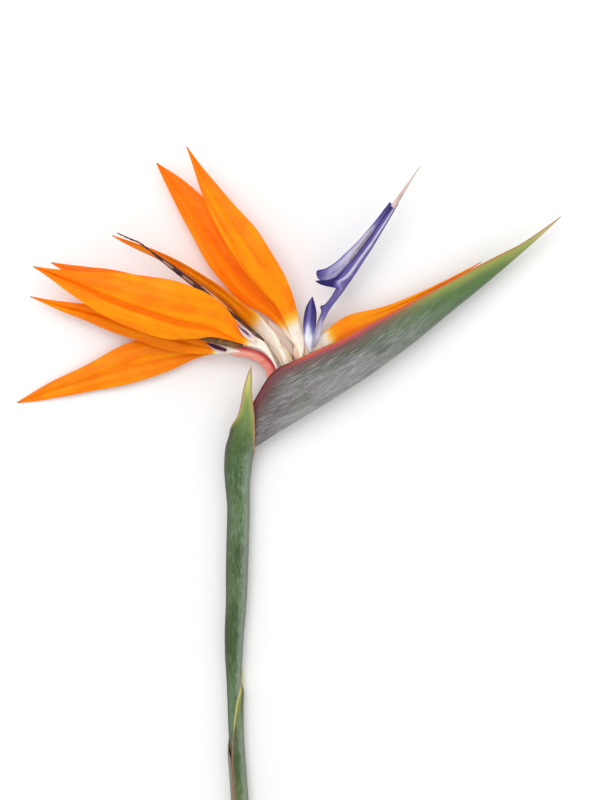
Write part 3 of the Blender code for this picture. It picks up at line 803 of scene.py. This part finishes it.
def leaf(name, node, heart, finish, slot, relief=(), ruffle=0.25, waves=3.0, phase=0.0,
         thickness=0.55, root_thickness=1.5, claw=8.0, curl=0.0, base=None, strap_width=0.2,
         dip=0.0, ribs=0.05, narrow=1.0, rows=130, columns=45, colouring=None):
    """A blade that follows the solid of one sepal or petal. Its height is the solid's, plus
    rises rise * exp(-((s - line(t)) / spread) ** 2) along the lines of relief, (rise, spread,
    [(t, s), ...]) each, plus waves that grow towards the margins, and fine ribs. It is narrow
    times as wide as the solid. Where base is given, a strap that ends strap_width wide either
    side carries its root back to that place, sinking by dip. colouring(t, s) is its shade
    where that isn't the depth of its folds."""
    form = leaf_form(node, heart)
    length = form["length"]
    t = np.linspace(0, 1, rows) ** 0.97
    t = 1 - (1 - t) ** 1.12
    low, high, height, lean, cup = curves(form["t"], form["rows"], t)
    s = from_margin_to_margin(columns)[None, :]
    middle = ((low + high) / 2)[:, None]
    half = np.maximum((high - low) / 2 * narrow, 0.05)[:, None]
    taper = (np.sin(np.pi * np.clip(t, 0, 1)) ** 0.6)[:, None]
    z = height[:, None] + lean[:, None] * s - cup[:, None] * s * s
    shade = np.zeros((rows, columns))
    for rise, spread, line in relief:
        centre = curve(line, np.clip(t, line[0][0], line[-1][0]))[:, None]
        bell = np.exp(-((s - centre) / spread) ** 2)
        z = z + rise * bell * taper
        # the depth of each groove is kept as shade, which the sepal finish paints darker as
        # painted shade
        shade = shade + max(-rise, 0) * bell * taper * 0.8
    size = np.minimum(1, half / 5)
    along = t[:, None] * length
    z = z + ruffle * np.abs(s) ** 2.5 * size * np.sin(2 * np.pi * waves * t[:, None]
                                                      + phase + s * 1.3) * taper
    z = z - curl * half * np.abs(s) ** 5 * taper
    z = z + ribs * size * np.sin(s * 17 + 1.2 * np.sin(along / 17 + phase)) * taper
    across = middle + half * s + 0.12 * s * size * np.sin(along / 4.1 + phase) * taper
    sheet = set_out(form["root"] * (1, 1, 0), form["ahead"], form["left"], along, across, z)
    depth = thickness + (root_thickness - thickness) * np.exp(-t / 0.1)
    depth = depth * (1 - 0.75 * t ** 5)
    behind = 0.0
    if base is not None:
        back, stoutness = strap(sheet, form, np.array(base), strap_width, depth[0], dip)
        behind = np.linalg.norm(np.diff(np.vstack([back, sheet[:1]])[:, columns // 2], axis=0),
                                axis=1).sum()
        sheet = np.vstack([back, sheet])
        depth = np.concatenate([stoutness, depth])
        shade = np.vstack([np.zeros((len(back), columns)), shade])
        t = np.concatenate([np.zeros(len(back)), t])
    if colouring is not None:
        shade = colouring(t[:, None], s)
    return sheet_piece(name, sheet, depth, finish, slot, [node],
                       np.clip(shade, 0, 1), claw, t=t, behind=behind)


def strap(sheet, form, base, width, depth, dip, rows=30, stoutest=2.6):
    """The rows that carry a blade's root back to base: a parabola that leaves the root against
    the blade's direction, and sinks by dip on the way. The root's section grows to width
    either side, and rounder."""
    middle = sheet.shape[1] // 2
    root = sheet[0, middle]
    aside = (sheet[0] - root) @ form["left"]
    rise = (sheet[0] - root) @ UP
    s = from_margin_to_margin(sheet.shape[1])
    turn = root - form["ahead"] * np.linalg.norm(base - root) * 0.3 - dip * UP
    k = np.linspace(0, 1, rows)[:-1, None]
    line = base * (1 - k) ** 2 + 2 * turn * k * (1 - k) + root * k ** 2
    ahead = ((turn - base) * (1 - k) + (root - turn) * k) * (1, 1, 0)
    left = np.cross(UP, ahead / np.linalg.norm(ahead, axis=1, keepdims=True))
    grow = 1 + (2 * width / (aside.max() - aside.min()) - 1) * np.sin((1 - k) * np.pi / 2)
    grow = grow * (1 + 0.35 * np.sin(np.pi * k))
    up = rise * (0.15 + 0.85 * k) - 0.45 * width * s ** 2 * (1 - k) ** 0.7
    back = line[:, None, :] + (aside * grow)[:, :, None] * left[:, None, :] + up[:, :, None] * UP
    return back, depth + (stoutest - depth) * (1 - k[:, 0]) ** 0.6


def straight(s):
    """The line of a fold that keeps to one s from root to tip."""
    return [(0, s), (1, s)]


def sepals():
    """Nine sepals, three for each floret, with their folds."""
    front = sepal_finish("sepal_front", tint(255, 152, 0), tint(250, 120, 0), tint(236, 92, 0))
    # the second finish is a darker copy of the same orange: painted shade for the sepals that lie
    # under the others
    behind = sepal_finish("sepal_shaded_copy", tint(253, 140, 0), tint(247, 114, 0), tint(226, 78, 0))
    a, b, c = (middle_of("claw_" + floret) for floret in "abc")
    end = c + (-3.5, 6.0, 0.2)
    c = c + (6.0, -3.0, 0.0)
    blades = [
        ("a1", a, front, a + (-4.6, -5.0, 1.8), dict(phase=0.5, claw=10.0, strap_width=0.25),
         [(1.4, 0.22, [(0.2, 0.75), (0.4, 0.68), (0.55, 0.42), (0.9, 0.3), (1, 0.1)]),
          (-0.7, 0.25, [(0.1, 0.35), (0.3, 0.1), (0.5, -0.1), (0.8, -0.15), (1, 0)])]),
        ("a2", a, behind, a + (-3.5, -4.0, -2.0), dict(phase=1.7),
         [(-1.0, 0.2, straight(0.1)), (0.6, 0.2, straight(0.5))]),
        ("a3", a, front, a + (1.6, -5.0, 0.6),
         dict(phase=2.2, claw=6.0, strap_width=0.25, ruffle=0.0, ribs=0.02),
         [(-0.5, 0.25, straight(0.05))]),
        ("b1", b, front, b + (4.0, -6.0, 1.6), dict(phase=0.9),
         [(0.8, 0.3, straight(0.2)), (-0.6, 0.2, straight(-0.4))]),
        ("b2", b, front, b + (-1.4, -7.0, 1.4),
         dict(phase=2.9, claw=5.5, strap_width=0.25, waves=2.5, ruffle=0.35, rows=170,
              columns=61),
         [(-1.7, 0.13, [(0.1, 0.75), (0.26, 0.43), (0.45, 0.3), (0.64, 0.22), (0.84, 0.0),
                        (1, -0.05)]),
          (1.1, 0.2, [(0.1, 0.95), (0.3, 0.7), (0.5, 0.52), (0.76, 0.5), (1, 0.3)]),
          (0.8, 0.25, [(0.1, -0.1), (0.4, -0.25), (0.8, -0.5), (1, -0.4)])]),
        ("b3", b, behind, b + (-0.5, -6.0, -1.0), dict(phase=0.2),
         [(-0.8, 0.2, straight(0.0))]),
        ("c1", c, front, end + (0.0, 0.3, 0.4), dict(phase=1.2, claw=3.0),
         [(-1.1, 0.16, [(0, 0.2), (0.5, 0.1), (1, 0)]), (0.7, 0.25, straight(-0.45)),
          (0.5, 0.2, straight(0.5))]),
        ("c2", c, front, end + (0.0, -0.4, -0.4),
         dict(phase=2.0, claw=4.0, strap_width=0.3, waves=2.0),
         [(-1.0, 0.16, [(0, 0.5), (0.3, 0.3), (0.7, 0.1), (1, 0)]),
          (0.7, 0.3, straight(-0.35))]),
        ("c3", c, behind, end, dict(phase=0.4, claw=5.0), [(-0.5, 0.2, straight(0.0))]),
    ]
    for label, heart, finish, base, shape, relief in blades:
        leaf("sepal_%s_blade" % label, "sepal_" + label, heart, finish, "sepal_orange",
             base=base, relief=relief, **shape)


def stout(name, node, finish, slot, wide, flat, beyond, sink=0.0):
    """The stout claw of a floret. It follows its solid and swells by wide towards the end,
    which is carried on by beyond millimetres into the roots of the sepals, and sinks."""
    points, _ = solid(node)
    inside = middle_of("spathe") + (-60.0, -60.0, 0.0)
    root, tip = ends_of(node, inside, reach=1.2)
    tip = points[(points - root) @ unit(tip - root) > np.linalg.norm(tip - root) - 0.8].mean(0)
    path = round_form(node, root, tip, 9)
    on = unit(path[-1, :3] - path[-3, :3])
    path = np.vstack([path, [*(path[-1, :3] + on * beyond), path[-1, 3] * 0.55]])
    path[:, 2] -= sink * np.linspace(0, 1, len(path))

    def ribs(t, turn):
        return 0.12 * np.sin(turn * 7 + t * 3) + 0.06 * np.sin(turn * 17 + t * 5)

    round_piece(name, path, finish, slot, [node], rows=60, around=56, flat=flat, wide=wide,
                bumps=ribs)


def claws():
    """The three stout claws, out of the spathe's slit."""
    cream = claw_finish("claw_cream_skin", tint(250, 228, 204), tint(238, 176, 140))
    white = claw_finish("claw_white_skin", tint(255, 246, 224), tint(250, 212, 160))
    salmon = claw_finish("claw_salmon_skin", tint(246, 160, 140), tint(214, 58, 84),
                         flank=(-0.1, 0.8), end=0.75)
    stout("claw_a_base", "claw_a", cream, "claw_cream",
          wide=[(0, 1.2), (0.5, 1.7), (0.8, 1.8), (1, 1.5)], flat=0.7, beyond=5.0)
    stout("claw_b_base", "claw_b", white, "claw_cream",
          wide=[(0, 0.9), (0.5, 0.9), (0.85, 0.7), (1, 0.5)], flat=0.6, beyond=0.3, sink=5.0)
    stout("claw_c_base", "claw_c", salmon, "claw_salmon",
          wide=[(0, 1.05), (0.5, 0.95), (0.8, 1.1), (1, 1.7)], flat=0.85, beyond=6.0)


def tongue_petal(name, node, edges, blueness, finish, lift, relief, fall=(0.0, 0.0), rows=150,
                 columns=41):
    """A petal of the tongue between two edges. edges are rows of (ahead, left) on its right
    side and (ahead, left) on its left side, all in millimetres from its root, and t follows
    both at the same pace. lift is (t, rise of its middle), and blueness(s, ahead, left)
    says how deep its colour is. fall is how far its right side falls all along it and its left
    side towards its tip, so that the petals join."""
    points, _ = solid(node)
    tip = points[np.argmax(points[:, 1])]
    root = points[points[:, 1] < points[:, 1].min() + 0.8].mean(axis=0)
    length, ahead, aside = plan_line(root, tip)
    pace = np.linspace(0, 1, len(edges))
    t = np.linspace(0, 1, rows)
    margins = np.column_stack(curves(pace, np.array(edges), t))
    right = margins[:, :2]
    left = margins[:, 2:]
    s = from_margin_to_margin(columns)[None, :, None]
    plan = right[:, None, :] * (1 - s) / 2 + left[:, None, :] * (1 + s) / 2
    s = s[:, :, 0]
    forward = plan[:, :, 0]
    sideways = plan[:, :, 1]
    width = np.linalg.norm(left - right, axis=1)[:, None]
    z = root[2] + (tip[2] - root[2]) * np.clip(forward / length, 0, 1)
    z = z + np.minimum(forward, 0) * 0.5 + curve(lift, t)[:, None] * (1 - s * s)
    taper = np.sin(np.pi * t)[:, None] ** 0.5
    for rise, spread, line in relief:
        centre = curve(line, t)[:, None]
        z = z + rise * np.exp(-((s - centre) / spread) ** 2) * taper
    z = z + 0.02 * np.minimum(width, 6) * np.sin(s * 15)
    end = climb(t, 0.45, 0.95)[:, None]
    z = z - fall[0] * ((1 - s) / 2) ** 1.3 - fall[1] * end * ((1 + s) / 2)
    sheet = set_out(root * (1, 1, 0), ahead, aside, forward, sideways, z)
    depth = 0.7 * np.clip(t * 14, 0.5, 1) * np.clip((1 - t) * 20, 0.5, 1)
    shade = np.clip(blueness(s, forward, sideways), 0, 1)
    return sheet_piece(name, sheet, depth, finish, "petal_blue", [node], shade)


WING_EDGES = [
    (26.2, 12.5, 26.5, 12.9), (25.6, 10.8, 28.3, 14.0), (27.2, 7.4, 31.7, 10.9),
    (30.3, 4.9, 36.5, 8.5), (37, 3.2, 42, 6.8), (45, 2.0, 49, 4.9), (52, 1.3, 56, 3.5),
    (62, 0.3, 64, 2.2), (73.3, -0.9, 73.8, 1.2),
]
SHAFT_EDGES = [
    (-8, -2.4, -8, 2.6), (0.7, -1.9, -0.7, 2.0), (4, -0.8, 4, 2.4), (8, 0.4, 8, 3.0),
    (12.3, 0.8, 12.2, 3.8), (14, 0.9, 14.2, 5.4), (15.8, 0.9, 16.2, 4.0), (21, 0.3, 21, 3.4),
    (25, -0.2, 25.6, 3.4), (27, -0.4, 24.9, 5.4), (28.5, -0.5, 23.7, 8.5),
    (30, -0.6, 23.0, 11.4), (31, -0.7, 23.2, 13.6), (32, -0.8, 24.8, 11.4),
    (34, -0.9, 27, 8.3), (38, -1.1, 31, 6.2), (44, -1.3, 40, 5.0), (52, -1.6, 50, 3.2),
    (62, -1.6, 60, 2.0), (74.4, -1.5, 73.9, 0.6),
]


def climb(value, low, high):
    """Rises from 0 to 1 as the value goes from low to high."""
    x = np.clip((value - low) / (high - low), 0, 1)
    return x * x * (3 - 2 * x)


def wing_blueness(s, ahead, left):
    """Deep at the tip of its barb, towards its end and at its rim, and paler in the middle."""
    barb_tip = climb(left, 8.0, 13.5) * 0.5
    end = climb(ahead, 54, 72) * 0.7
    rim = np.exp(-(1 - np.abs(s)) / 0.12) * 0.3
    middle = 0.16 * np.cos(s * 2.2)
    return 0.3 + barb_tip + end + rim - middle * climb(ahead, 30, 40)


def shaft_blueness(s, ahead, left):
    """Deep at the tip of its barb, with the petal's indigo and painted shade under the wing, and
    at its left edge, with a paler stripe along it and a pale root."""
    # the barb's deep colour is partly painted shade, where it lies under the wing
    barb_tip = climb(left, 3.6, 7.0) * 0.6
    stripe = -0.5 * np.exp(-((s + 0.3) / 0.22) ** 2) * climb(ahead, 20, 34)
    dark_edge = np.exp(-(1 - s) / 0.4) * 0.3
    root = climb(ahead, 15, 1)
    return (0.58 + barb_tip + stripe + dark_edge) * (1 - root)


def nectary_blueness(t, s):
    """Pale at the root and along a line near its middle, and deep towards its tip."""
    middle = np.exp(-((s - 0.2) / 0.35) ** 2)
    return climb(t + 0.12 * s * s - 0.1 * middle, -0.12, 0.5) * (0.8 - 0.35 * middle + 0.3 * t)


def tongue():
    """The blue tongue of the youngest floret: the folded shaft with its curved barb, dark with
    indigo and painted shade, the pale wing over it, the stigma past its end, and the anthers in
    the seam."""
    blue = tongue_finish("tongue_skin", tint(214, 208, 228), tint(112, 102, 166),
                         tint(46, 36, 104))
    tongue_petal("shaft", "arrow_far_a", SHAFT_EDGES, shaft_blueness, blue,
                 lift=[(0, 0.8), (0.3, 1.4), (0.6, 1.6), (0.8, 1.1), (1, 0.6)],
                 relief=[(0.5, 0.3, [(0, -0.5), (1, -0.4)])], fall=(0.0, -0.6))
    wing = tongue_petal("wing", "arrow_near_a", WING_EDGES, wing_blueness, blue,
                        lift=[(0, 0.3), (0.4, 0.9), (0.65, 1.5), (0.85, 0.8), (1, 0.4)],
                        relief=[(-0.5, 0.14, straight(-0.2)), (0.3, 0.2, straight(0.4))],
                        fall=(2.2, 2.0))
    tan = claw_finish("style_skin", tint(214, 190, 182), tint(164, 130, 122))
    style = path_between("style_a", 24)[15:]
    style[-1, :3] += unit(style[-1, :3] - style[-4, :3]) * 1.2
    style[:, 3] = np.linspace(1.3, 0.2, len(style))
    round_piece("stigma", style, tan, "style_tan", ["style_a"], rows=120, around=18, flat=0.7)
    pollen = withered_finish("anther_skin", tint(120, 92, 96), tint(160, 128, 118),
                             tint(214, 196, 190))
    seam = path_between("anthers_a", 10)
    seam = seam[1:-1] + (0.9, -0.5, 0, 0)
    skin_points = np.array([vertex.co for vertex in wing.data.vertices]) / MM
    for point in seam:
        near = np.linalg.norm(skin_points[:, :2] - point[:2], axis=1) < 0.9
        if near.any():
            point[2] = skin_points[near, 2].max() + 0.05
    seam[:, 3] = 0.08

    def grains(t, turn):
        return 0.3 * np.sin(t * 50) ** 2 + 0.06 * np.sin(turn * 3 + t * 190)

    round_piece("anthers", seam, pollen, "anther_brown", ["anthers_a"], rows=220, around=14,
                bumps=grains)


def path_between(node, cuts):
    """The centre line of a thin round solid, from its lower to its upper end."""
    points, _ = solid(node)
    first = points[np.argmin(points[:, 1])]
    last = points[np.argmax(points[:, 1])]
    return round_form(node, first, last, cuts)


def nectaries():
    """The small third petal of each floret, a hood over its nectary."""
    violet = tongue_finish("nectary_skin", tint(236, 236, 246), tint(112, 106, 172),
                           tint(48, 42, 104))
    lilac = tongue_finish("lilac_skin", tint(250, 228, 210), tint(200, 172, 190),
                          tint(78, 42, 74))
    purple = tongue_finish("dark_lobe_skin", tint(240, 206, 198), tint(150, 96, 108),
                           tint(52, 22, 42))
    small = dict(rows=60, columns=31, ruffle=0.08, ribs=0.03, thickness=0.6, root_thickness=0.9)
    leaf("nectary_a_hood", "nectary_petal_a", middle_of("claw_a"), violet, "petal_blue",
         curl=0.35, base=middle_of("claw_a") + (0.8, 3.0, 0.6), strap_width=0.3,
         colouring=nectary_blueness, relief=[(0.9, 0.3, straight(0.1))], **small)
    leaf("nectary_b_hood", "nectary_petal_b", middle_of("claw_b"), lilac, "petal_lilac",
         # a dark purple line down its middle: the petal's own purple and painted shade of its
         # slit
         colouring=lambda t, s: 0.15 + 0.9 * np.exp(-((s + 0.1) / 0.3) ** 2) * climb(t, 0.1, 0.5),
         relief=[(0.7, 0.35, straight(0))], **small)
    leaf("nectary_c_hood", "nectary_petal_c", middle_of("claw_c"), purple, "withered_brown",
         colouring=lambda t, s: 1.3 * np.exp(-((s - 0.1) / 0.45) ** 2) + 0 * t,
         relief=[(0.8, 0.4, straight(0))], **small)


def withered():
    """The dry tongues of the two older florets and one dry style."""
    dry = withered_finish("dry_tongue_skin", tint(44, 24, 34), tint(78, 46, 44),
                          tint(170, 128, 108))
    olive = withered_finish("dry_olive_skin", tint(96, 66, 36), tint(140, 104, 58),
                            tint(214, 184, 132))
    shrivelled = dict(rows=110, columns=25, ruffle=0.5, waves=7.0, thickness=0.9,
                      root_thickness=1.1, ribs=0.16)
    leaf("dry_tongue_b", "arrow_b", middle_of("claw_b"), dry, "withered_brown",
         relief=[(0.7, 0.4, straight(0.2))], narrow=0.75,
         base=middle_of("claw_b") + (-9.0, 9.0, -1.0), strap_width=0.4, dip=9.0,
         colouring=lambda t, s: (np.exp(-((s - 0.15) / 0.4) ** 2)
                                 * (0.7 + 0.5 * np.sin(t * 21)) * climb(t, 0.9, 0.7)),
         **shrivelled)
    leaf("dry_tongue_c", "arrow_c", middle_of("claw_c") + (12, 0, 0), olive, "withered_brown",
         relief=[(0.9, 0.4, straight(0.1)), (-0.5, 0.3, straight(-0.6))], **shrivelled)

    def kinks(t, turn):
        return 0.05 * np.sin(t * 37) + 0.03 * np.sin(turn * 3 + t * 60)

    thread = path_between("style_b", 9)[::-1]
    thread = thread[np.argsort(-thread[:, 0])]
    tip = ends_of("arrow_b", middle_of("claw_b"))[1]
    thread = np.vstack([(*(tip + (1.0, -0.8, 0.0)), 0.6), (*tip, 0.5),
                        thread[2:] * (1, 1, 1, 1.35)])
    round_piece("dry_style", thread, dry, "withered_brown", ["style_b"], rows=90, around=12,
                bumps=kinks)


def bracteole():
    """The thin scale inside the spathe's slit, at its heel."""
    leaf("bracteole_scale", "bracteole", middle_of("spathe") + (-40.0, -40.0, 0.0),
         bracteole_finish(), "bracteole_mauve", rows=70, columns=33, ruffle=0.15,
         thickness=0.3, root_thickness=0.5, relief=[(0.5, 0.3, straight(0))], claw=3.0,
         narrow=1.25)


# --- Studio -----------------------------------------------------------------------------


def camera():
    """The camera, which looks straight down at the flower."""
    lens = bpy.data.cameras.new("camera")
    lens.lens = LENS
    lens.sensor_width = SENSOR
    lens.clip_start = 0.01
    lens.clip_end = 20.0
    viewer = bpy.data.objects.new("camera", lens)
    viewer.location = np.array(CAMERA_PLACE) * MM
    bpy.context.scene.collection.objects.link(viewer)
    bpy.context.scene.camera = viewer


def lamp(name, place, size, power):
    """A square soft light that faces the middle of the flower."""
    light = bpy.data.lights.new(name, "AREA")
    light.shape = "SQUARE"
    light.size = size
    light.energy = power
    item = bpy.data.objects.new(name, light)
    item.location = place
    toward = (cad_box[0] + cad_box[1]) / 2 - item.location
    item.rotation_euler = toward.to_track_quat("-Z", "Y").to_euler()
    bpy.context.scene.collection.objects.link(item)


def floor():
    """The plain, nearly white surface that the flower lies on."""
    size = 3.0
    mesh = bpy.data.meshes.new("floor")
    corners = [(-size, -size, 0), (size, -size, 0), (size, size, 0), (-size, size, 0)]
    mesh.from_pydata(corners, [], [(0, 1, 2, 3)])
    white = Finish("floor_white")
    mesh.materials.append(white.done((0.97, 0.97, 0.965), 0.9))
    item = bpy.data.objects.new("floor", mesh)
    bpy.context.scene.collection.objects.link(item)


def sky():
    """An even, white light from all round."""
    world = bpy.data.worlds.new("studio")
    world.use_nodes = True
    background = world.node_tree.nodes["Background"]
    background.inputs["Color"].default_value = (1.0, 1.0, 1.0, 1.0)
    background.inputs["Strength"].default_value = SKY
    bpy.context.scene.world = world


stalk()
sheaths()
spathe()
bracteole()
claws()
sepals()
nectaries()
tongue()
withered()

camera()
floor()
sky()
lamp("overhead", place=(-0.35, 0.55, 1.1), size=0.9, power=6.4)
lamp("fill", place=(0.8, -0.2, 0.8), size=1.2, power=1.6)
bpy.context.scene.view_settings.view_transform = "Standard"
